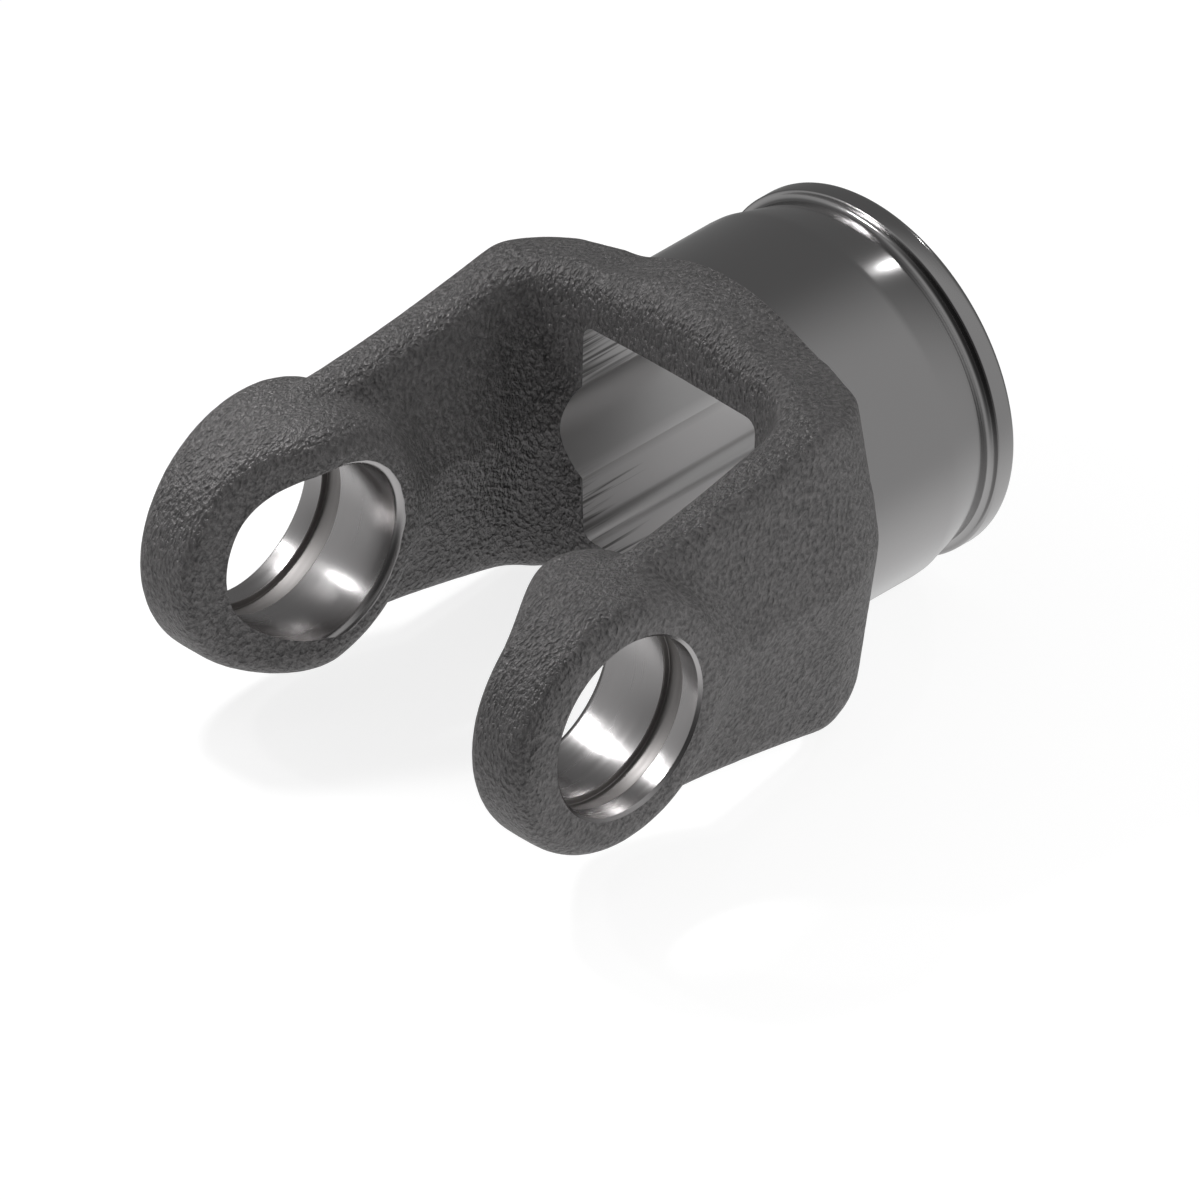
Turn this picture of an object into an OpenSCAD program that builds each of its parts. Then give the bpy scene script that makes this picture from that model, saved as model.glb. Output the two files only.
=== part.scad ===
// Forged yoke of a light driveline: one piece of forged steel.
// X runs along the driveline towards the hub end, Y through both ears, Z up.
// The origin is the joint centre, where the bearing cross would sit.

/* [Ears] */
// Bore for the bearing cup of the cross
cup_bore_d = 22; // [20:0.1:23]
// Outside diameter of each ear
ear_d = 33; // [31.5:0.1:35]
// Distance over the outer faces of both ears
ear_span = 62; // [60.5:0.1:64]
// Clear gap between the inner faces of the ears
ear_gap = 31.8; // [30:0.1:34]
// Rounding of the outer rim of an ear
ear_outer_round = 3.1; // [2:0.1:3.6]
// Rounding of the inner rim of an ear
ear_inner_round = 3.8; // [2:0.1:3.9]
// Rounding of the inner rim of an ear at its thinned tip
tip_round = 2.1; // [1.5:0.1:3.6]
// Bevel at the outer mouth of the cup bore
mouth_bevel = 0.4; // [0.2:0.05:0.8]
// Lead-in bevel at the inner mouth of the cup bore
lead_in = 1; // [0.4:0.1:1.4]

/* [Ring grooves] */
// Distance over the outer walls of both ring grooves
ring_span = 56.1; // [54.8:0.1:57]
// Width of a ring groove
ring_groove_w = 2.7; // [1.2:0.1:3]
// Depth of a ring groove
ring_groove_depth = 0.8; // [0.4:0.1:1.2]

/* [Tip relief] */
// Distance between the thinned inner faces at the tips
tip_gap = 42.8; // [40.6:0.1:44]
// Place along X where the relief starts
relief_start = 1.3; // [-1:0.1:3]
// Length of the sloped part of the relief
relief_run = 12; // [8:0.1:12]

/* [Arms] */
// Distance over the outer sides of both arms, at mid height
arm_span = 58.1; // [56:0.1:58.5]
// Gap between the arms at the joint centre, at mid height
arm_gap = 40.8; // [37:0.1:41.5]
// Narrowing of that gap for each millimetre along X
arm_gap_draft = 0.14; // [0:0.01:0.15]
// Half height of an arm at the joint centre
arm_half_h = 16.45; // [16.3:0.01:16.48]
// How late the arm gains its height: 1 is an even rise
arm_rise = 1.7; // [1:0.05:2]
// Side draft either side of the parting plane, in degrees
side_draft = 7.5; // [3:0.5:7.5]
// Rounding of the outer edges of the arms
arm_outer_round = 2.4; // [1.5:0.1:2.6]
// Rounding of the inner edges of the arms
arm_inner_round = 2.6; // [1.5:0.1:2.8]
// Rounding of the edge where the crotch meets the top
crotch_edge_round = 3.5; // [2:0.1:4.5]
// Width of the hollow round each ear boss
boss_blend_w = 5; // [3:0.1:7]
// Rise of that hollow on the outer side of the arm
boss_rise_outer = 1.6; // [1:0.1:1.9]
// Rise of that hollow on the inner side of the arm
boss_rise_inner = 2.2; // [1:0.1:3]

/* [Shoulder and crotch] */
// Distance from the joint centre to the bottom of the crotch
crotch_x = 36.8; // [35:0.1:39]
// Corner radius of the crotch in plan
crotch_r = 6.5; // [5:0.1:8.5]
// Draft of the bottom of the crotch, in degrees
crotch_draft = 2.5; // [1:0.5:7]
// Place of the crease across the top where the shoulder is highest
peak_x = 35.8; // [33:0.1:38]
// Half height of the shoulder at that crease, towards the middle
peak_half_h = 21.5; // [19:0.1:22]
// Fall of the shoulder's top for each millimetre behind the crease
back_fall = 0.21; // [0.05:0.01:0.35]
// Fall of the shoulder's top for each millimetre outwards
side_fall = 0.06; // [0:0.01:0.15]
// Half width of the shoulder's top that has no such fall
level_half_w = 12; // [8:0.5:16]
// How softly the shoulder's top runs into the round crown
crown_blend = 1.6; // [0.4:0.1:2.4]
// Place where the outer side starts to turn in
shoulder_x = 33.8; // [30:0.1:38]
// Reach of the quarter ellipse behind the shoulder, against its depth
shoulder_reach = 1.23; // [1.05:0.01:1.6]
// How squarely the shoulder turns in behind the arm
shoulder_square = 15.7; // [12:0.1:18]
// Place of the turned rear face of the shoulder
rear_x = 46.4; // [45:0.1:49]

/* [Hub] */
// Outside diameter of the turned hub
hub_d = 45; // [43.6:0.1:45.4]
// Distance from the joint centre to the end of the hub
hub_end_x = 69.2; // [66:0.1:76]
// Outside diameter of the end rim
rim_d = 44.4; // [43.6:0.1:44.5]
// Width of the end rim
rim_w = 2.8; // [1.2:0.1:3]
// Rounding of the outer edge of the end rim
rim_round = 0.9; // [0.2:0.1:1.2]
// Length of the bearing groove in front of the rim
groove_w = 7; // [5:0.1:8]
// Depth of the bearing groove at the rim
groove_depth = 1.45; // [0.8:0.05:2]
// Length of the groove's level floor beside the rim
groove_floor = 0.8; // [0.4:0.1:2]
// Rise of the forging above the turned hub
forging_rise = 0.3; // [0.15:0.05:0.8]
// Bevel where the turned hub starts behind the forging
start_bevel = 0.5; // [0.3:0.1:0.9]

/* [Profile bore] */
// Width of the broached profile along Y
profile_w = 26.8; // [25:0.1:27.6]
// Height of the broached profile along Z
profile_h = 28.6; // [27.6:0.1:30]
// Corner radius of the broached profile
profile_r = 1.5; // [0.8:0.1:3]
// Distance over the two round lobes of the profile, along Y
lobe_span = 31.2; // [29:0.1:32]
// Radius of each lobe
lobe_r = 9.8; // [8:0.1:11]
// Bevel at the hub end of the bore
end_bevel = 0.8; // [0.4:0.1:1.2]

/* [Hidden] */
$fn = 96;
ear_r = ear_d / 2;
bore_r = cup_bore_d / 2;
hub_r = hub_d / 2;
rim_r = rim_d / 2;
face_y = ear_span / 2;
inner_y = ear_gap / 2;
tip_y = tip_gap / 2;
arm_y = arm_span / 2;
crown_r = hub_r + forging_rise;
cut = 1;
// The full diameter of the hub starts this far behind the forging
start_gap = 0.15;

// Stations along an arm, round the crotch corner and across the base
arm_steps = 14;
corner_steps = 12;
base_steps = 9;
// Points on a quarter edge, across the top, and on the inner and outer sides
edge_steps = 5;
top_steps = 5;
inner_steps = 10;
outer_steps = 14;
// Steps round an ear and on its rounded rims
ear_steps = 60;
rim_steps = 5;

// Start of the arm, buried in the ear: its top and its mid height
arm_start_x = -0.5;
arm_start_r = ear_r - 1.5;
crotch_turn_x = crotch_x - crotch_r;
// Plan of the outer side behind the shoulder: a quarter ellipse
shoulder_a = (rear_x - shoulder_x) * shoulder_reach;
shoulder_b = arm_y - shoulder_square;
crotch_lean = tan(crotch_draft) / tan(side_draft);
rear_y = arm_y - shoulder_b + shoulder_b * sqrt(1 - pow((rear_x - shoulder_x) / shoulder_a, 2));

function mix(a, b, t) = a + (b - a) * t;
function ease(t) = t * t * (3 - 2 * t);
function clamp01(t) = max(0, min(1, t));

// The greater of two heights, with a hollow of the given width where they meet
function soft_max(a, b, w) = max(a, b) + pow(max(0, w - abs(a - b)), 2) / (4 * w);

// Top of the forging over a place in plan: arm, crowned shoulder and round hub
function arm_top(x) = mix(arm_half_h, peak_half_h, pow(clamp01(x / peak_x), arm_rise));
function shoulder_top(x, y) =
    arm_top(x) - back_fall * max(0, x - peak_x)
    - side_fall * max(0, y - level_half_w) * clamp01(x / peak_x);
function hub_top(y) = sqrt(max(0, crown_r * crown_r - y * y));
function top_at(x, y) = soft_max(shoulder_top(x, y), hub_top(y), crown_blend);
function arm_in_y(x) = arm_gap / 2 - x * arm_gap_draft / 2;

// Place where a circle round the joint centre meets the top of the arm
function ring_top_x(r, x, turns) =
    turns == 0 ? x : ring_top_x(r, sqrt(max(0, r * r - pow(arm_top(x), 2))), turns - 1);

// A station holds its inner point, its outer point, both edge roundings, the share
// of the draft on its outer side, its bulge at mid height and the share of the draft inside.
// The first stations of an arm are bent round the ear, the last one is straight.
function arm_station(t) =
    let (r = mix(arm_start_r, crotch_turn_x, pow(t, 1.2)),
         straight = ease(clamp01((r - ear_r) / (crotch_turn_x - ear_r))),
         x = t == 0 ? arm_start_x : mix(ring_top_x(r, 0, 6), r, straight))
    [[x, arm_in_y(x)], [x, arm_y], arm_inner_round, arm_outer_round, 1, r - x, 1];

function corner_station(t) =
    let (a = 90 * (1 - t),
         turn_y = arm_in_y(crotch_turn_x),
         inner = [crotch_turn_x + crotch_r * cos(a), turn_y - crotch_r + crotch_r * sin(a)],
         x = mix(crotch_turn_x, rear_x, sin(90 * t)),
         y = x < shoulder_x ? arm_y
             : arm_y - shoulder_b + shoulder_b * sqrt(1 - pow((x - shoulder_x) / shoulder_a, 2)))
    [inner, [x, y], mix(arm_inner_round, crotch_edge_round, ease(t)), arm_outer_round, 1, 0,
     mix(1, crotch_lean, ease(t))];

function base_station(t) =
    let (turn_y = arm_in_y(crotch_turn_x) - crotch_r)
    [[crotch_x, turn_y * (1 - t)], [rear_x, rear_y * (1 - t)],
     crotch_edge_round, mix(arm_outer_round, forging_rise, min(1, 3 * t)), max(0, 1 - 3 * t), 0, crotch_lean];

half_stations = concat(
    [for (i = [0 : arm_steps - 1]) arm_station(i / arm_steps)],
    [for (i = [0 : corner_steps - 1]) corner_station(i / corner_steps)],
    [for (i = [0 : base_steps]) base_station(i / base_steps)]);
last = len(half_stations) - 1;

// Hollow round a boss: 1 at the rim of the ear, falling to 0
function boss_blend(x, z) =
    let (r = sqrt(x * x + z * z))
    pow(1 - clamp01((r - ear_r) / boss_blend_w), 2);

// Half of a section, from the inner side at mid height over the top to the outer side
function section_top(s) =
    let (p = s[0], q = s[1], ri = s[2], ro = s[3],
         w = norm(q - p), d = (q - p) / w,
         lean = s[6] * tan(side_draft), back = s[4] * tan(side_draft),
         li = lean * top_at(p[0], p[1]), lo = back * top_at(q[0], q[1]),
         pi = p + d * (li + ri / 2), po = q - d * (lo + ro / 2),
         hi = top_at(pi[0], pi[1]), ho = top_at(po[0], po[1]),
         ui = lean * (hi - ri) + ri, uo = w - back * (ho - ro) - ro)
    concat(
        [for (i = [0 : inner_steps / 2 - 1]) let (z = (hi - ri) * 2 * i / inner_steps)
            [lean * z, z, -1]],
        [for (i = [0 : edge_steps]) let (a = 90 * i / edge_steps)
            [ui - ri * cos(a), hi - ri + ri * sin(a), 0]],
        [for (i = [1 : top_steps - 1])
            let (u = mix(ui, uo, i / top_steps), m = p + d * u)
            [u, top_at(m[0], m[1]), 0]],
        [for (i = [0 : edge_steps]) let (a = 90 * i / edge_steps)
            [uo + ro * sin(a), ho - ro + ro * cos(a), 0]],
        [for (i = [1 : outer_steps / 2]) let (z = (ho - ro) * (1 - 2 * i / outer_steps))
            [w - back * z, z, 1]]);

// Share of a station's bulge at a share of its height, as on a circle round the joint
function bulge_at(share, bend) =
    (sqrt(max(0, 1 - bend * share * share)) - sqrt(1 - bend)) / (1 - sqrt(1 - bend));

// Both halves of a section as points in space, on the side of the given ear
function ring(s, side) =
    let (top = section_top(s), n = len(top), p = s[0], q = s[1], w = norm(q - p), d = (q - p) / w,
         high = arm_top(p[0]), bend = min(0.98, pow(high / (p[0] + s[5]), 2)),
         flat = concat(top, [for (i = [n - 2 : -1 : 1]) [top[i][0], -top[i][1], top[i][2]]]))
    [for (c = flat)
        let (bulge = s[5] > 0 ? s[5] * bulge_at(min(1, abs(c[1]) / high), bend) : 0,
             x = p[0] + d[0] * c[0] + bulge,
             y = p[1] + d[1] * c[0] - bulge * arm_gap_draft / 2 * (1 - c[0] / w),
             lift = d[0] < 0.1 ? boss_blend(x, c[1]) * (1 - pow(min(1, abs(c[1]) / high), 4)) : 0,
             rise = c[2] > 0 ? boss_rise_outer * lift : c[2] < 0 ? -boss_rise_inner * lift : 0)
        [x, side * (y + rise), c[1]]];

// Closed skin over a list of rings with the same number of points
module skin(rings) {
    n = len(rings[0]);
    m = len(rings);
    points = [for (r = rings) each r];
    sides = [for (i = [0 : m - 2]) for (j = [0 : n - 1])
        let (k = (j + 1) % n, a = i * n + j, b = i * n + k, c = (i + 1) * n + k, d = (i + 1) * n + j)
        each [[a, b, c], [a, c, d]]];
    first_cap = [for (j = [1 : n - 2]) [0, j + 1, j]];
    last_cap = [for (j = [1 : n - 2]) [(m - 1) * n, (m - 1) * n + j, (m - 1) * n + j + 1]];
    polyhedron(points, concat(sides, first_cap, last_cap));
}

module fork() {
    skin(concat([for (i = [0 : last]) ring(half_stations[i], 1)],
                [for (i = [last - 1 : -1 : 0]) ring(half_stations[i], -1)]));
}

// Inner side of an ear: flat by the arm, then a soft ramp down to the thinner tip
function relief(x) = let (t = clamp01((relief_start - x) / relief_run)) mix(t, ease(t), 0.6);
function inner_face(x) = mix(inner_y, tip_y, relief(x));

// Rings of an ear from the inner face over the rim to the outer face
function ear_ring(k) =
    let (split = rim_steps + 1,
         a = 90 * (k < split ? k : k - split) / rim_steps)
    [for (i = [0 : ear_steps - 1])
        let (turn = 360 * i / ear_steps,
             inner = k < split,
             in_round = mix(ear_inner_round, tip_round, relief(ear_r * cos(turn))),
             r = inner ? ear_r - in_round + in_round * sin(a)
                       : ear_r - ear_outer_round + ear_outer_round * cos(a),
             x = r * cos(turn),
             y = inner ? inner_face(x) + in_round * (1 - cos(a))
                       : face_y - ear_outer_round + ear_outer_round * sin(a))
        [x, y, r * sin(turn)]];

// The middle of the ear is solid: the cup bore is cut out of it
function ear_core(r, y_of) =
    [for (i = [0 : ear_steps - 1])
        let (turn = 360 * i / ear_steps, x = r * cos(turn))
        [x, y_of < 0 ? inner_face(x) : y_of, r * sin(turn)]];

module ear() {
    core_r = bore_r - 4;
    skin(concat([ear_core(core_r, -1)], [ear_core(bore_r + lead_in + 0.6, -1)],
                [for (k = [0 : 2 * rim_steps + 1]) ear_ring(k)],
                [ear_core(core_r, face_y)]));
}

module hub() {
    wall_x = hub_end_x - rim_w;
    ramp_x = wall_x - groove_w;
    floor_r = hub_r - groove_depth;
    start_x = rear_x + start_gap;
    start_r = hub_r - start_bevel;
    rotate([0, 90, 0]) rotate_extrude()
        difference() {
            polygon([[0, rear_x - cut], [start_r, rear_x - cut], [start_r, start_x - start_bevel],
                     [hub_r, start_x], [hub_r, hub_end_x], [0, hub_end_x]]);
            polygon([[hub_r, ramp_x], [floor_r, wall_x - groove_floor],
                     [floor_r, wall_x], [hub_r + cut, wall_x], [hub_r + cut, ramp_x]]);
            translate([rim_r, wall_x]) square([cut, rim_w + cut]);
            translate([rim_r - rim_round, hub_end_x - rim_round]) difference() {
                square(rim_round + cut);
                circle(r = rim_round);
            }
        }
}

module cup_bore() {
    groove_y = ring_span / 2 - ring_groove_w;
    rotate([-90, 0, 0]) {
        translate([0, 0, inner_y - cut]) cylinder(r = bore_r, h = face_y - inner_y + 2 * cut);
        translate([0, 0, groove_y]) cylinder(r = bore_r + ring_groove_depth, h = ring_groove_w);
        translate([0, 0, face_y - mouth_bevel])
            cylinder(r1 = bore_r, r2 = bore_r + mouth_bevel + cut, h = mouth_bevel + cut);
        translate([0, 0, inner_y - cut])
            cylinder(r1 = bore_r + lead_in + cut, r2 = bore_r, h = lead_in + cut);
    }
}

// Section of the bore: a rounded rectangle with a round lobe towards each arm
module bore_profile() {
    across = profile_w - 2 * profile_r;
    high = profile_h - 2 * profile_r;
    square([high, profile_w], center = true);
    square([profile_h, across], center = true);
    for (i = [-1, 1]) {
        translate([0, i * (lobe_span / 2 - lobe_r)]) circle(r = lobe_r);
        for (j = [-1, 1]) translate([i * high / 2, j * across / 2]) circle(r = profile_r);
    }
}

// Broached profile right through the hub, with a turned bevel at its end
module hub_bore() {
    lead = crotch_r + 3;
    bevel_r = lobe_span / 2 + end_bevel;
    bevel_depth = 4 * end_bevel;
    translate([crotch_x - lead, 0, 0]) rotate([0, 90, 0])
        linear_extrude(hub_end_x - crotch_x + lead + cut) bore_profile();
    translate([hub_end_x - bevel_depth, 0, 0]) rotate([0, 90, 0])
        cylinder(r1 = bevel_r - bevel_depth, r2 = bevel_r + cut, h = bevel_depth + cut);
}

module yoke() {
    color("dimgray") difference() {
        union() {
            fork();
            ear();
            mirror([0, 1, 0]) ear();
            hub();
        }
        cup_bore();
        mirror([0, 1, 0]) cup_bore();
        hub_bore();
    }
}

yoke();
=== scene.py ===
"""Looks of a forged joint yoke: one steel forging, turned, bored and broached.

The row frame has X along the driveline towards the hub end, Y along both ear
bores and Z up. The origin is the joint centre. All lengths below are metres.
"""

import logging
import math
from dataclasses import dataclass, field
from enum import Enum
from typing import Callable, Sequence

import bmesh
import bpy
from mathutils import Matrix, Vector


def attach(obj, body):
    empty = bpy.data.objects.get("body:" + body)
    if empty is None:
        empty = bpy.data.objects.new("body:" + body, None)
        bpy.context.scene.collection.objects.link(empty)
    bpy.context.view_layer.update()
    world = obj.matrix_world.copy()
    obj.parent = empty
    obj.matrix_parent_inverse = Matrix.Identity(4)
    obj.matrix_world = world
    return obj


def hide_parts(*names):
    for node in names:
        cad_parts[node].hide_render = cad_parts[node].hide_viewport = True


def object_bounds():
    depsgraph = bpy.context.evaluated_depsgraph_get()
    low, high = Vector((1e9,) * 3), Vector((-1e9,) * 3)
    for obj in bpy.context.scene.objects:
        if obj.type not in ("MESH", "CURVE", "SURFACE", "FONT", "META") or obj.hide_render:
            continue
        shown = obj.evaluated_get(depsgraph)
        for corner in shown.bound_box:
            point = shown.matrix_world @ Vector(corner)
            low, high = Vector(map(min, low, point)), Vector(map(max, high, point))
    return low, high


LOG = logging.getLogger("yoke")
MM = 0.001
CUTS_BEYOND = 2 * MM
SHARP_ANGLE = math.radians(34)

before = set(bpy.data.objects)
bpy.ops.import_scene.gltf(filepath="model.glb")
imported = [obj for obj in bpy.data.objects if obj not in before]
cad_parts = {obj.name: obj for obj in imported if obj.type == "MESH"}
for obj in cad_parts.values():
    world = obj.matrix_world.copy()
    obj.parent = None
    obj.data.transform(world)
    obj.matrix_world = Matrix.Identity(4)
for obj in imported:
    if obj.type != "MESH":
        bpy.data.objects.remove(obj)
CAD_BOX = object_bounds()


class Axis(Enum):
    """Row axis that a turned form is spun about."""

    X = "X"
    Y = "Y"


class Join(Enum):
    """What a boolean does with its second form."""

    ADD = "UNION"
    TAKE = "DIFFERENCE"


# Helpers for modelling


def deselect_all() -> None:
    """Leaves edit mode and deselects every object."""
    if bpy.context.object and bpy.context.object.mode != "OBJECT":
        bpy.ops.object.mode_set(mode="OBJECT")
    bpy.ops.object.select_all(action="DESELECT")


def make_active(piece: bpy.types.Object) -> None:
    """Selects one object alone and makes it active."""
    deselect_all()
    piece.select_set(True)
    bpy.context.view_layer.objects.active = piece


def settle(piece: bpy.types.Object) -> None:
    """Puts the object's place, turn and scale into its mesh."""
    make_active(piece)
    bpy.ops.object.transform_apply(location=True, rotation=True, scale=True)


def weld(piece: bpy.types.Object, reach: float = 0.002 * MM) -> None:
    """Merges doubled vertices and turns every face outwards.

    Args:
        piece: Closed mesh object.
        reach: Greatest distance at which vertices are merged.
    """
    make_active(piece)
    bpy.ops.object.mode_set(mode="EDIT")
    bpy.ops.mesh.select_all(action="SELECT")
    bpy.ops.mesh.remove_doubles(threshold=reach)
    bpy.ops.mesh.normals_make_consistent(inside=False)
    bpy.ops.object.mode_set(mode="OBJECT")


def pick_faces(piece: bpy.types.Object, wanted: Callable[[Vector, Vector], bool]) -> int:
    """Enters edit mode with only the wanted faces selected.

    Args:
        piece: Mesh object.
        wanted: Tells from a face's centre and normal whether it is picked.

    Returns:
        How many faces are selected.
    """
    make_active(piece)
    bpy.ops.object.mode_set(mode="EDIT")
    bpy.ops.mesh.select_mode(type="FACE")
    bpy.ops.mesh.select_all(action="DESELECT")
    mesh = bmesh.from_edit_mesh(piece.data)
    count = 0
    for face in mesh.faces:
        if wanted(face.calc_center_median(), face.normal):
            face.select_set(True)
            count += 1
    bmesh.update_edit_mesh(piece.data)
    return count


def apply_modifiers(piece: bpy.types.Object) -> None:
    """Applies every modifier of a piece, first to last."""
    make_active(piece)
    for name in [m.name for m in piece.modifiers]:
        bpy.ops.object.modifier_apply(modifier=name)


def combine(piece: bpy.types.Object, other: bpy.types.Object, join: Join) -> None:
    """Joins a form to a piece or takes it away, and removes the form.

    The new faces keep the material of the form that made them.

    Args:
        piece: Object that is kept.
        other: Closed form that is added or cut away.
        join: Whether the form is added or taken.
    """
    step = piece.modifiers.new("cut", "BOOLEAN")
    step.operation = join.value
    step.solver = "EXACT"
    step.material_mode = "TRANSFER"
    step.object = other
    apply_modifiers(piece)
    bpy.data.objects.remove(other, do_unlink=True)


def turned_form(name: str, outline: Sequence[tuple[float, float]], axis: Axis,
                steps: int = 160) -> bpy.types.Object:
    """Spins an outline about an axis, as a lathe would.

    Args:
        name: Name of the new object.
        outline: Pairs of distance along the axis and radius, from end to end.
        axis: Axis of the spin.
        steps: Number of steps in a full turn.

    Returns:
        The closed turned form.
    """
    along = Vector((1, 0, 0)) if axis is Axis.X else Vector((0, 1, 0))
    out = Vector((0, 0, 1))
    closed = [(outline[0][0], 0.0), *outline, (outline[-1][0], 0.0)]
    points = [along * a + out * r for a, r in closed]
    deselect_all()
    bpy.ops.mesh.primitive_plane_add(size=MM, location=(0, 0, 0))
    form = bpy.context.object
    form.name = name
    bpy.ops.object.mode_set(mode="EDIT")
    bpy.ops.mesh.select_mode(type="VERT")
    bpy.ops.mesh.select_all(action="SELECT")
    bpy.ops.mesh.merge(type="CENTER")
    bpy.ops.transform.translate(value=points[0])
    for here, there in zip(points, points[1:]):
        bpy.ops.mesh.extrude_region_move(TRANSFORM_OT_translate={"value": there - here})
    bpy.ops.mesh.select_all(action="SELECT")
    bpy.ops.mesh.spin(steps=steps, angle=2 * math.pi, center=(0, 0, 0), axis=along)
    bpy.ops.object.mode_set(mode="OBJECT")
    weld(form)
    return form


def arc(centre: tuple[float, float], radius: float, start: float, end: float,
        steps: int = 6) -> list[tuple[float, float]]:
    """Points of an arc in an outline.

    Args:
        centre: Distance along the axis and radius of the arc's centre.
        radius: Radius of the arc.
        start: First angle in degrees, 0 along the axis and 90 outwards.
        end: Last angle in degrees.
        steps: Number of steps.

    Returns:
        The points from the first angle to the last.
    """
    turns = [math.radians(start + (end - start) * i / steps) for i in range(steps + 1)]
    return [(centre[0] + radius * math.cos(t), centre[1] + radius * math.sin(t)) for t in turns]


# Sub-assemblies of the one forging


@dataclass
class EarBores:
    """Both cup bores with their ring grooves, lead-ins and outer bevels."""

    bore_r: float = 11.0 * MM
    face_y: float = 31.0 * MM
    inner_y: float = 15.9 * MM
    groove_outer_y: float = 28.05 * MM
    groove_w: float = 2.7 * MM
    groove_depth: float = 0.8 * MM
    groove_round: float = 0.14 * MM
    mouth_bevel: float = 0.4 * MM
    lead_in: float = 1.0 * MM
    margin: float = 0.2 * MM

    def half_outline(self) -> list[tuple[float, float]]:
        """Outline of the far half of the cutter, from the joint centre outwards."""
        near = self.groove_outer_y - self.groove_w
        far = self.groove_outer_y
        deep = self.bore_r + self.groove_depth
        soft = self.groove_round
        return [
            (self.inner_y, self.bore_r + self.lead_in),
            *arc((self.inner_y + self.lead_in, self.bore_r + self.lead_in), self.lead_in, 180, 270, 5),
            (near - soft, self.bore_r),
            *arc((near - soft, self.bore_r + soft), soft, 290, 345, 2),
            *arc((near + soft, deep - soft), soft, 180, 90, 3),
            *arc((far - soft, deep - soft), soft, 90, 0, 3),
            *arc((far + soft, self.bore_r + soft), soft, 195, 250, 2),
            (far + soft, self.bore_r),
            (self.face_y - self.mouth_bevel, self.bore_r),
            (self.face_y + CUTS_BEYOND, self.bore_r + self.mouth_bevel + CUTS_BEYOND),
        ]

    def cutter(self) -> bpy.types.Object:
        """Builds the cutter that bores both ears in one pass."""
        half = self.half_outline()
        mirrored = [(-a, r) for a, r in reversed(half)]
        form = turned_form("ear_bore_cutter", mirrored + half, Axis.Y, steps=192)
        form.data.materials.append(BoredSteel("bored steel", "#a5a3a3", 0.22, 0.28).material())
        form.data.materials.append(BoredSteel("grooved steel", "#999695", 0.44, 0.56).material())
        pick_faces(form, lambda centre, normal: self.in_groove(abs(centre.y)))
        form.active_material_index = 1
        bpy.ops.object.material_slot_assign()
        bpy.ops.object.mode_set(mode="OBJECT")
        return form

    def in_groove(self, y: float) -> bool:
        """Whether a distance from the joint centre lies in a ring groove."""
        return self.groove_outer_y - self.groove_w - self.margin < y < self.groove_outer_y + self.margin

    def is_wall(self, centre: Vector, normal: Vector) -> bool:
        """Whether a face of the CAD shape belongs to a cup bore."""
        r = math.hypot(centre.x, centre.z)
        y = abs(centre.y)
        widest = self.bore_r + self.lead_in + self.margin
        if r > widest or y < self.inner_y - self.margin / 2:
            return False
        faces_axis = centre.x * normal.x + centre.z * normal.z < -0.5 * r
        return faces_axis or self.in_groove(y)


@dataclass
class Hub:
    """Turned hub with its bearing groove and end rim."""

    radius: float = 22.5 * MM
    rear_x: float = 46.4 * MM
    end_x: float = 69.2 * MM
    rim_r: float = 22.2 * MM
    rim_w: float = 2.8 * MM
    rim_round: float = 0.9 * MM
    groove_w: float = 7.0 * MM
    groove_depth: float = 1.45 * MM
    groove_floor: float = 1.1 * MM
    foot_round: float = 0.7 * MM
    lip_round: float = 0.25 * MM
    end_face: float = 8.0 * MM
    buried: float = 1.5 * MM

    def outline(self) -> list[tuple[float, float]]:
        """Outline of the hub from inside the forging to its end face."""
        wall = self.end_x - self.rim_w
        start = wall - self.groove_w
        floor_r = self.radius - self.groove_depth
        lip = self.lip_round
        foot = self.foot_round
        soft = 0.5 * MM
        return [
            (self.rear_x - self.buried, self.radius - 0.2 * MM),
            (self.rear_x - 0.3 * MM, self.radius),
            (start - soft, self.radius),
            (start + soft, self.radius - 0.06 * MM),
            (wall - self.groove_floor - soft, floor_r + 0.1 * MM),
            (wall - self.groove_floor, floor_r + 0.02 * MM),
            *arc((wall - foot, floor_r + foot), foot, 270, 360, 6),
            *arc((wall + lip, self.rim_r - lip), lip, 180, 90, 3),
            *arc((self.end_x - self.rim_round, self.rim_r - self.rim_round), self.rim_round, 90, 0, 8),
            (self.end_x, self.radius - self.end_face),
        ]

    def form(self) -> bpy.types.Object:
        """Builds the turned hub as a solid bar."""
        form = turned_form("turned_hub", self.outline(), Axis.X, steps=224)
        form.data.materials.append(TurnedSteel().material())
        return form


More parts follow.
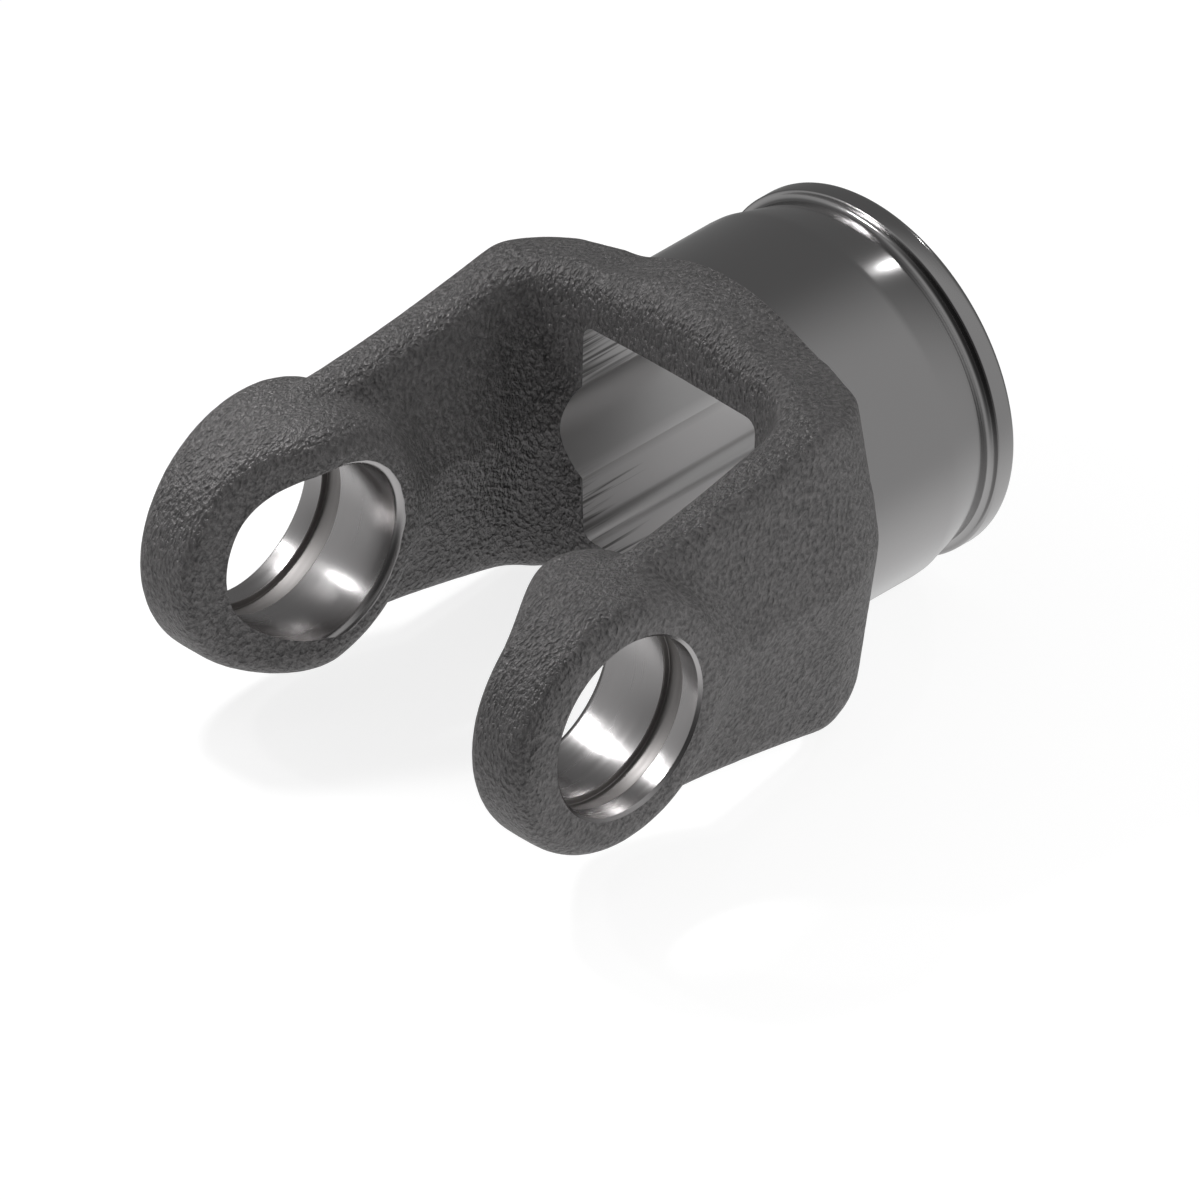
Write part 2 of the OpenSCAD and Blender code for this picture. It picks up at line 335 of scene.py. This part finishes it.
@dataclass
class ProfileBore:
    """Broached bore of the hub: a rounded rectangle with a lobe towards each arm."""

    width: float = 26.8 * MM
    height: float = 28.6 * MM
    corner_r: float = 1.5 * MM
    lobe_span: float = 31.2 * MM
    lobe_r: float = 9.8 * MM
    start_x: float = 27.0 * MM
    walls_from_x: float = 34.0 * MM
    end_x: float = 69.2 * MM
    end_bevel: float = 0.8 * MM
    bevel_slope: float = 4.0
    bevel_zone: float = 4.0 * MM

    def bar(self) -> bpy.types.Object:
        """Builds the rectangular bar with rounded long edges."""
        length = self.end_x + CUTS_BEYOND - self.start_x
        deselect_all()
        bpy.ops.mesh.primitive_cube_add(size=1, location=(self.start_x + length / 2, 0, 0))
        bar = bpy.context.object
        bar.name = "broach_bar"
        bar.scale = (length, self.width, self.height)
        settle(bar)
        bpy.ops.object.mode_set(mode="EDIT")
        bpy.ops.mesh.select_mode(type="EDGE")
        bpy.ops.mesh.select_all(action="DESELECT")
        mesh = bmesh.from_edit_mesh(bar.data)
        for edge in mesh.edges:
            a, b = (v.co for v in edge.verts)
            edge.select_set(abs(a.x - b.x) > length / 2)
        bmesh.update_edit_mesh(bar.data)
        bpy.ops.mesh.bevel(offset=self.corner_r, segments=10, affect="EDGES")
        bpy.ops.object.mode_set(mode="OBJECT")
        return bar

    def lobe(self, side: int) -> bpy.types.Object:
        """Builds the round bar of one lobe.

        Args:
            side: 1 for the lobe towards +Y, -1 for the other.
        """
        ends = [(self.start_x, self.lobe_r), (self.end_x + CUTS_BEYOND, self.lobe_r)]
        lobe = turned_form("broach_lobe", ends, Axis.X, steps=144)
        lobe.location.y = side * (self.lobe_span / 2 - self.lobe_r)
        settle(lobe)
        return lobe

    def countersink(self) -> bpy.types.Object:
        """Builds the turned bevel at the hub end."""
        wide = self.lobe_span / 2 + self.end_bevel
        deep = self.bevel_slope * self.end_bevel
        ends = [(self.end_x - deep, wide - deep), (self.end_x + CUTS_BEYOND, wide + CUTS_BEYOND)]
        return turned_form("countersink", ends, Axis.X, steps=192)

    def cutter(self) -> bpy.types.Object:
        """Builds the whole cutter of the bore."""
        cutter = self.bar()
        for side in (-1, 1):
            combine(cutter, self.lobe(side), Join.ADD)
        combine(cutter, self.countersink(), Join.ADD)
        cutter.data.materials.clear()
        cutter.data.materials.append(BroachedSteel().material())
        return cutter

    def is_wall(self, centre: Vector, normal: Vector) -> bool:
        """Whether a face of the CAD shape belongs to the bore of the hub."""
        if centre.x < self.walls_from_x or centre.y * normal.y + centre.z * normal.z > 0:
            return False
        on_profile = (abs(centre.y) < self.lobe_span / 2 + 0.15 * MM
                      and abs(centre.z) < self.height / 2 + 0.1 * MM and abs(normal.x) < 0.45)
        on_bevel = centre.x > self.end_x - self.bevel_zone and abs(normal.x) < 0.95
        return on_profile or on_bevel


@dataclass
class Forging:
    """Forged blank: the CAD shape with its hollows closed and its facets smoothed away."""

    ears: EarBores
    hub: Hub
    bore: ProfileBore
    crown_rise: float = 0.3 * MM
    voxel: float = 0.42 * MM
    passes: int = 16
    dents: float = 0.05 * MM
    dent_size: float = 1.7 * MM

    def copied_shape(self) -> bpy.types.Object:
        """Copies the CAD node and merges its loose triangles."""
        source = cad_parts["yoke"]
        blank = source.copy()
        blank.data = source.data.copy()
        for key in list(blank.keys()):
            del blank[key]
        blank.name = "forged_yoke"
        blank.parent = None
        blank.matrix_world = Matrix.Identity(4)
        bpy.context.scene.collection.objects.link(blank)
        blank.data.materials.clear()
        weld(blank, 0.001 * MM)
        return blank

    def close_hollows(self, blank: bpy.types.Object) -> None:
        """Takes out the walls of every machined hollow and closes the holes that are left."""
        count = pick_faces(blank, lambda c, n: self.ears.is_wall(c, n) or self.bore.is_wall(c, n))
        bpy.ops.mesh.delete(type="FACE")
        bpy.ops.mesh.select_all(action="SELECT")
        bpy.ops.mesh.fill_holes(sides=0)
        bpy.ops.mesh.select_all(action="SELECT")
        bpy.ops.mesh.normals_make_consistent(inside=False)
        bpy.ops.object.mode_set(mode="OBJECT")
        LOG.info("closed hollows: %d wall faces taken out", count)

    def lift_hub(self, blank: bpy.types.Object) -> None:
        """Widens the hub to the crown of the forging, so that smoothing keeps the crown's height."""
        grown = (self.hub.radius + self.crown_rise) / self.hub.radius
        for vertex in blank.data.vertices:
            r = math.hypot(vertex.co.y, vertex.co.z)
            if vertex.co.x > self.hub.rear_x - 0.01 * MM and abs(r - self.hub.radius) < 0.02 * MM:
                vertex.co.y *= grown
                vertex.co.z *= grown

    def even_skin(self, blank: bpy.types.Object) -> None:
        """Gives the blank one even skin with soft edges and the faint dents of forging."""
        skin = blank.modifiers.new("even", "REMESH")
        skin.mode = "VOXEL"
        skin.voxel_size = self.voxel
        soft = blank.modifiers.new("soft", "SMOOTH")
        soft.factor = 0.5
        soft.iterations = self.passes
        clouds = bpy.data.textures.new("forging dents", "CLOUDS")
        clouds.noise_scale = self.dent_size
        clouds.noise_depth = 1
        dents = blank.modifiers.new("dents", "DISPLACE")
        dents.texture = clouds
        dents.texture_coords = "LOCAL"
        dents.strength = self.dents
        dents.mid_level = 1.0
        apply_modifiers(blank)

    def face_rear(self, blank: bpy.types.Object) -> None:
        """Faces the blank off square where the hub starts."""
        make_active(blank)
        bpy.ops.object.mode_set(mode="EDIT")
        bpy.ops.mesh.select_all(action="SELECT")
        bpy.ops.mesh.bisect(plane_co=(self.hub.rear_x, 0, 0), plane_no=(1, 0, 0), use_fill=True,
                            clear_outer=True, threshold=0.001 * MM)
        bpy.ops.object.mode_set(mode="OBJECT")

    def build(self) -> bpy.types.Object:
        """Builds the blank, ready for machining."""
        blank = self.copied_shape()
        self.close_hollows(blank)
        self.lift_hub(blank)
        self.even_skin(blank)
        self.face_rear(blank)
        blank.data.materials.append(ForgedSteel().material())
        LOG.info("blank: %d faces", len(blank.data.polygons))
        return blank


@dataclass
class Yoke:
    """The whole yoke: forged blank, turned hub, bored ears and broached hub."""

    ears: EarBores = field(default_factory=EarBores)
    hub: Hub = field(default_factory=Hub)
    bore: ProfileBore = field(default_factory=ProfileBore)

    def build(self) -> bpy.types.Object:
        """Builds the yoke as one closed mesh with a slot for each kind of surface."""
        piece = Forging(self.ears, self.hub, self.bore).build()
        combine(piece, self.hub.form(), Join.ADD)
        combine(piece, self.bore.cutter(), Join.TAKE)
        combine(piece, self.ears.cutter(), Join.TAKE)
        make_active(piece)
        bpy.ops.object.shade_smooth_by_angle(angle=SHARP_ANGLE)
        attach(piece, "root")
        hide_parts("yoke")
        return piece


# Finishes


def linear(hex_code: str) -> tuple[float, float, float, float]:
    """Turns an sRGB hex colour to linear light.

    Args:
        hex_code: Six hex digits after a hash.

    Returns:
        Red, green, blue and a full alpha.
    """
    parts = [int(hex_code[i:i + 2], 16) / 255 for i in (1, 3, 5)]
    lit = [p / 12.92 if p <= 0.04045 else ((p + 0.055) / 1.055) ** 2.4 for p in parts]
    return lit[0], lit[1], lit[2], 1.0


def add_node(tree: bpy.types.NodeTree, kind: str, settings: dict | None = None,
             links: dict | None = None) -> bpy.types.Node:
    """Adds a node with its settings and its incoming links.

    Args:
        tree: Node tree that gets the node.
        kind: Blender's name of the node type.
        settings: Values by attribute name or by input name.
        links: Output sockets by input name or number.

    Returns:
        The new node.
    """
    node = tree.nodes.new(kind)
    for key, value in (settings or {}).items():
        if isinstance(key, str) and hasattr(node, key):
            setattr(node, key, value)
        else:
            node.inputs[key].default_value = value
    for key, socket in (links or {}).items():
        tree.links.new(socket, node.inputs[key])
    return node


def new_material(name: str) -> tuple[bpy.types.Material, bpy.types.NodeTree, bpy.types.Node]:
    """Makes an empty material.

    Args:
        name: Name of the material.

    Returns:
        The material, its node tree and its output node.
    """
    material = bpy.data.materials.new(name)
    material.use_nodes = True
    tree = material.node_tree
    tree.nodes.clear()
    return material, tree, tree.nodes.new("ShaderNodeOutputMaterial")


@dataclass(frozen=True)
class ForgedSteel:
    """Die-forged carbon steel, shot blasted, with a dark dull scale on it.

    The grain is drawn deeper and coarser than blasting leaves it, so that it shows in the render.
    """

    # The colour in the pits is painted shade, darker than the ridges.
    pit_shade: str = "#5c5b5b"
    ridge: str = "#7f7d7d"
    grain: float = 0.28 * MM
    depth: float = 0.76 * MM
    patch: float = 6.0 * MM

    def material(self) -> bpy.types.Material:
        """Dull dark grey with a leathery grain, with random patches of tone, and painted shade darkening its
        pits against its ridges.
        """
        material, tree, output = new_material("forged steel, blasted and scaled")
        place = add_node(tree, "ShaderNodeTexCoord").outputs["Object"]
        drawn = add_node(tree, "ShaderNodeMapping", {"Rotation": (0.3, 0.5, 0.4), "Scale": (1.0, 1.5, 0.8)},
                         {"Vector": place})
        grains = add_node(tree, "ShaderNodeTexNoise",
                          {"Scale": 0.5 / self.grain, "Detail": 2.0, "Roughness": 0.5, "Distortion": 0.15},
                          {"Vector": drawn.outputs["Vector"]})
        patches = add_node(tree, "ShaderNodeTexNoise", {"Scale": 0.5 / self.patch, "Detail": 2.0},
                           {"Vector": place})
        height = add_node(tree, "ShaderNodeMapRange", {"From Min": 0.3, "From Max": 0.7},
                          {"Value": grains.outputs["Fac"]})
        # Random tone patches plus painted shade in the grain's pits set the colour mix.
        patches_and_pit_shade = add_node(tree, "ShaderNodeMath", {"operation": "MULTIPLY_ADD", 1: 0.5},
                        {0: patches.outputs["Fac"], 2: height.outputs["Result"]})
        tone = add_node(tree, "ShaderNodeMapRange", {"From Min": 0.25, "From Max": 1.25},
                        {"Value": patches_and_pit_shade.outputs["Value"]})
        tint = add_node(tree, "ShaderNodeMix", {"data_type": "RGBA", 6: linear(self.pit_shade),
                                                7: linear(self.ridge)},
                        {0: tone.outputs["Result"]})
        bump = add_node(tree, "ShaderNodeBump", {"Strength": 1.0, "Distance": self.depth},
                        {"Height": grains.outputs["Fac"]})
        shader = add_node(tree, "ShaderNodeBsdfPrincipled", {"Metallic": 0.6, "Roughness": 0.52},
                          {"Base Color": tint.outputs[2], "Normal": bump.outputs["Normal"]})
        tree.links.new(shader.outputs[0], output.inputs[0])
        return material


@dataclass(frozen=True)
class TurnedSteel:
    """Steel turned on a lathe, with a soft sheen.

    The feed is drawn coarser than a fine turning feed, so that its rings show.
    """

    colour: str = "#999898"
    feed: float = 0.35 * MM

    def material(self) -> bpy.types.Material:
        """Grey with faint rings left by the turning tool."""
        material, tree, output = new_material("turned steel")
        place = add_node(tree, "ShaderNodeTexCoord").outputs["Object"]
        rings = add_node(tree, "ShaderNodeTexWave", {"wave_type": "BANDS", "bands_direction": "X",
                                                     "Scale": 0.31 / self.feed, "Distortion": 0.4},
                         {"Vector": place})
        bump = add_node(tree, "ShaderNodeBump", {"Strength": 0.06, "Distance": 0.02 * MM},
                        {"Height": rings.outputs["Fac"]})
        shader = add_node(tree, "ShaderNodeBsdfPrincipled",
                          {"Base Color": linear(self.colour), "Metallic": 1.0, "Roughness": 0.18},
                          {"Normal": bump.outputs["Normal"]})
        tree.links.new(shader.outputs[0], output.inputs[0])
        return material


@dataclass(frozen=True)
class BoredSteel:
    """Steel of the cup bores, bored and burnished, or left dull in the ring grooves."""

    name: str
    colour: str
    smooth: float
    dull: float
    haze: float = 2.0 * MM

    def material(self) -> bpy.types.Material:
        """Grey wall with soft clear highlights and a slight haze."""
        material, tree, output = new_material(self.name)
        place = add_node(tree, "ShaderNodeTexCoord").outputs["Object"]
        around = add_node(tree, "ShaderNodeMapping", {"Scale": (0.4, 6.0, 0.4)}, {"Vector": place})
        haze = add_node(tree, "ShaderNodeTexNoise", {"Scale": 0.5 / self.haze, "Detail": 3.0},
                        {"Vector": around.outputs["Vector"]})
        rough = add_node(tree, "ShaderNodeMapRange",
                         {"From Min": 0.3, "From Max": 0.7, "To Min": self.smooth, "To Max": self.dull},
                         {"Value": haze.outputs["Fac"]})
        shader = add_node(tree, "ShaderNodeBsdfPrincipled",
                          {"Base Color": linear(self.colour), "Metallic": 1.0},
                          {"Roughness": rough.outputs["Result"]})
        tree.links.new(shader.outputs[0], output.inputs[0])
        return material


@dataclass(frozen=True)
class BroachedSteel:
    """Steel with a profile pulled through it by a broach that scored it as it entered."""

    # One steel in lit and shaded copies: the flat colour is painted light, and the lobe and corner colours
    # are painted shade.
    flat_lit: str = "#dedddd"
    lobe: str = "#b2b1b1"
    corner: str = "#aeadad"
    score: str = "#868585"
    score_w: float = 0.2 * MM
    score_from: float = 38.0 * MM
    score_to: float = 42.5 * MM
    score_spread: float = 24.0 * MM
    score_patch: float = 0.5 * MM
    lobe_to_z: float = 5.0 * MM
    flat_from_z: float = 7.5 * MM
    corner_y: float = 11.4 * MM
    corner_z: float = 12.4 * MM

    def material(self) -> bpy.types.Material:
        """Flats painted pale as painted light, lobes and corners painted darker as painted shade, and scores
        along the pull behind the crotch.
        """
        material, tree, output = new_material("broached steel")
        place = add_node(tree, "ShaderNodeTexCoord").outputs["Object"]
        size = add_node(tree, "ShaderNodeVectorMath", {"operation": "ABSOLUTE"}, {0: place})
        apart = add_node(tree, "ShaderNodeSeparateXYZ", None, {0: size.outputs["Vector"]})
        flats = add_node(tree, "ShaderNodeMapRange",
                         {"From Min": self.lobe_to_z, "From Max": self.flat_from_z},
                         {"Value": apart.outputs["Z"]})
        high = add_node(tree, "ShaderNodeMapRange",
                        {"From Min": self.corner_z, "From Max": self.corner_z + 0.6 * MM},
                        {"Value": apart.outputs["Z"]})
        wide = add_node(tree, "ShaderNodeMapRange",
                        {"From Min": self.corner_y, "From Max": self.corner_y + 0.8 * MM},
                        {"Value": apart.outputs["Y"]})
        corners = add_node(tree, "ShaderNodeMath", {"operation": "MULTIPLY"},
                           {0: high.outputs["Result"], 1: wide.outputs["Result"]})
        # Painted shade: the lobes are mixed darker than the flats.
        wall = add_node(tree, "ShaderNodeMix", {"data_type": "RGBA", 6: linear(self.lobe),
                                                7: linear(self.flat_lit)}, {0: flats.outputs["Result"]})
        # Painted shade on the rounded corners, which damps their highlight.
        corner_shaded_wall = add_node(tree, "ShaderNodeMix", {"data_type": "RGBA", 7: linear(self.corner)},
                          {0: corners.outputs["Value"], 6: wall.outputs[2]})
        along = add_node(tree, "ShaderNodeMapping", {"Scale": (0.025, 1.0, 1.0)}, {"Vector": place})
        scores = add_node(tree, "ShaderNodeTexNoise",
                          {"Scale": 0.5 / self.score_w, "Detail": 1.0},
                          {"Vector": along.outputs["Vector"]})
        across = add_node(tree, "ShaderNodeMapping",
                          {"Scale": (0.0, 1.0, 1.0), "Location": (0, 0.1, 0.3)}, {"Vector": place})
        reach = add_node(tree, "ShaderNodeTexNoise", {"Scale": 0.5 / self.score_patch, "Detail": 1.0},
                         {"Vector": across.outputs["Vector"]})
        later = add_node(tree, "ShaderNodeMath", {"operation": "MULTIPLY_ADD",
                                                  1: self.score_spread, 2: -self.score_spread / 2},
                         {0: reach.outputs["Fac"]})
        place_x = add_node(tree, "ShaderNodeMath", {"operation": "ADD"},
                           {0: apart.outputs["X"], 1: later.outputs["Value"]})
        entry = add_node(tree, "ShaderNodeMapRange",
                         {"From Min": self.score_from, "From Max": self.score_to,
                          "To Min": 1.0, "To Max": 0.0},
                         {"Value": place_x.outputs["Value"]})
        depth = add_node(tree, "ShaderNodeMapRange", {"From Min": 0.45, "From Max": 0.6},
                         {"Value": scores.outputs["Fac"]})
        there = add_node(tree, "ShaderNodeMath", {"operation": "MULTIPLY"},
                         {0: entry.outputs["Result"], 1: flats.outputs["Result"]})
        scored = add_node(tree, "ShaderNodeMath", {"operation": "MULTIPLY"},
                          {0: there.outputs["Value"], 1: depth.outputs["Result"]})
        tint = add_node(tree, "ShaderNodeMix", {"data_type": "RGBA", 7: linear(self.score)},
                        {0: scored.outputs["Value"], 6: corner_shaded_wall.outputs[2]})
        shader = add_node(tree, "ShaderNodeBsdfPrincipled", {"Metallic": 1.0, "Roughness": 0.34},
                          {"Base Color": tint.outputs[2]})
        tree.links.new(shader.outputs[0], output.inputs[0])
        return material


# Studio


@dataclass(frozen=True)
class Lamp:
    """A square soft lamp.

    Attributes:
        name: Name of the lamp.
        aim: Point that it lights, in millimetres.
        towards: Direction from that point to the lamp.
        reach: Distance from that point to the lamp, in millimetres.
        size: Length of its side, in millimetres.
        power: Watts.
        mirrored: Whether metal shows it as a highlight.
    """

    name: str
    aim: tuple[float, float, float]
    towards: tuple[float, float, float]
    reach: float
    size: float
    power: float
    mirrored: bool = True

    def hang(self) -> None:
        """Hangs the lamp in the scene."""
        data = bpy.data.lights.new(self.name, "AREA")
        data.size = self.size * MM
        data.energy = self.power
        lamp = bpy.data.objects.new(self.name, data)
        bpy.context.scene.collection.objects.link(lamp)
        lamp.visible_glossy = self.mirrored
        aim = Vector(self.aim) * MM
        lamp.location = aim + Vector(self.towards).normalized() * self.reach * MM
        lamp.rotation_euler = (aim - lamp.location).to_track_quat("-Z", "Y").to_euler()


@dataclass
class Studio:
    """White floor, grey surroundings, four lamps and the photograph's parallel view.

    Only the camera sees the surroundings as white. Metal mirrors them grey, and white below, as on the
    photographed part.
    """

    look: tuple[float, float, float] = (0.58165, 0.58165, -0.56862)
    frame_width: float = 132.53 * MM
    right_shift: float = 18.59 * MM
    up_shift: float = 1.73 * MM
    lamps: tuple[Lamp, ...] = (
        Lamp("far bore lamp", (6.7, 18.7, -8.7), (-0.405, 0.579, 0.707), 160, 9, 0.022),
        Lamp("near bore lamp", (5.5, -19.3, -9.5), (-0.2, 0.582, 0.788), 160, 20, 0.1),
        Lamp("groove lamp", (65, -8, 20), (0.826, 0.142, 0.54), 160, 6, 0.01),
        Lamp("side fill", (20, 0, 0), (0.45, -0.75, 0.5), 600, 300, 1.4, mirrored=False),
    )

    def floor(self) -> None:
        """Lays a white floor under the ears and the hub."""
        deselect_all()
        low = CAD_BOX[0].z - 0.05 * MM
        bpy.ops.mesh.primitive_plane_add(size=3.0, location=(0, 0, low))
        floor = bpy.context.object
        floor.name = "floor"
        floor.visible_glossy = False
        material, tree, output = new_material("white floor")
        path = add_node(tree, "ShaderNodeLightPath")
        paint = add_node(tree, "ShaderNodeBsdfDiffuse", {"Color": linear("#ededed")})
        shadow = add_node(tree, "ShaderNodeBsdfDiffuse", {"Color": linear("#a0a0a0")})
        lift = add_node(tree, "ShaderNodeEmission", {"Color": (1, 1, 1, 1), "Strength": 0.8})
        both = add_node(tree, "ShaderNodeAddShader", None, {0: shadow.outputs[0], 1: lift.outputs[0]})
        seen = add_node(tree, "ShaderNodeMixShader", None,
                        {0: path.outputs["Is Camera Ray"], 1: paint.outputs[0], 2: both.outputs[0]})
        tree.links.new(seen.outputs[0], output.inputs[0])
        floor.data.materials.append(material)

    def world(self) -> None:
        """Surrounds the yoke: white below, grey at the sides and darker behind it."""
        world = bpy.data.worlds.new("studio")
        bpy.context.scene.world = world
        world.use_nodes = True
        tree = world.node_tree
        tree.nodes.clear()
        output = tree.nodes.new("ShaderNodeOutputWorld")
        place = add_node(tree, "ShaderNodeTexCoord").outputs["Generated"]
        back = add_node(tree, "ShaderNodeVectorMath", {"operation": "DOT_PRODUCT", 1: (0.7, 0.7, 0.1)},
                        {0: place}).outputs["Value"]
        down = add_node(tree, "ShaderNodeVectorMath", {"operation": "DOT_PRODUCT", 1: (0, 0, -1)},
                        {0: place}).outputs["Value"]
        near = add_node(tree, "ShaderNodeVectorMath", {"operation": "DOT_PRODUCT", 1: (-0.8, -0.47, 0.37)},
                        {0: place}).outputs["Value"]
        sides = add_node(tree, "ShaderNodeMapRange",
                         {"interpolation_type": "SMOOTHSTEP", "From Min": 0.1, "From Max": 0.7,
                          "To Min": 0.61, "To Max": 0.21}, {"Value": back})
        shade = add_node(tree, "ShaderNodeMapRange",
                         {"interpolation_type": "SMOOTHSTEP", "From Min": 0.25, "From Max": 0.95,
                          "To Min": 1.0, "To Max": 0.1}, {"Value": near})
        around = add_node(tree, "ShaderNodeMath", {"operation": "MULTIPLY"},
                          {0: sides.outputs["Result"], 1: shade.outputs["Result"]})
        below = add_node(tree, "ShaderNodeMapRange",
                         {"interpolation_type": "SMOOTHSTEP", "From Min": 0.3, "From Max": 0.88,
                          "To Min": 0.0, "To Max": 1.0}, {"Value": down})
        tone = add_node(tree, "ShaderNodeMix", {"data_type": "FLOAT", 3: 1.0},
                        {0: below.outputs["Result"], 2: around.outputs["Value"]})
        room = add_node(tree, "ShaderNodeBackground", {"Color": (1, 1, 1, 1)}, {"Strength": tone.outputs[0]})
        white = add_node(tree, "ShaderNodeBackground", {"Color": (1, 1, 1, 1), "Strength": 1.0})
        path = add_node(tree, "ShaderNodeLightPath")
        both = add_node(tree, "ShaderNodeMixShader", None,
                        {0: path.outputs["Is Camera Ray"], 1: room.outputs[0], 2: white.outputs[0]})
        tree.links.new(both.outputs[0], output.inputs[0])

    def camera(self) -> None:
        """Sets up the parallel view of the photograph."""
        data = bpy.data.cameras.new("camera")
        data.type = "ORTHO"
        data.ortho_scale = self.frame_width
        data.clip_start = 0.01
        data.clip_end = 10
        camera = bpy.data.objects.new("camera", data)
        bpy.context.scene.collection.objects.link(camera)
        look = Vector(self.look).normalized()
        turn = look.to_track_quat("-Z", "Y")
        aim = turn @ Vector((self.right_shift, self.up_shift, 0))
        camera.location = aim - look * 0.6
        camera.rotation_euler = turn.to_euler()
        bpy.context.scene.camera = camera

    def build(self) -> None:
        """Builds the whole studio."""
        self.camera()
        self.floor()
        self.world()
        for lamp in self.lamps:
            lamp.hang()
        bpy.context.scene.view_settings.view_transform = "Standard"


def main() -> None:
    """Builds the studio and the yoke."""
    logging.basicConfig(level=logging.INFO, format="%(name)s: %(message)s")
    Studio().build()
    piece = Yoke().build()
    triangles = sum(len(face.vertices) - 2 for face in piece.data.polygons)
    LOG.info("%s: %d triangles in %d materials", piece.name, triangles, len(piece.data.materials))


if __name__ == "__main__":
    main()
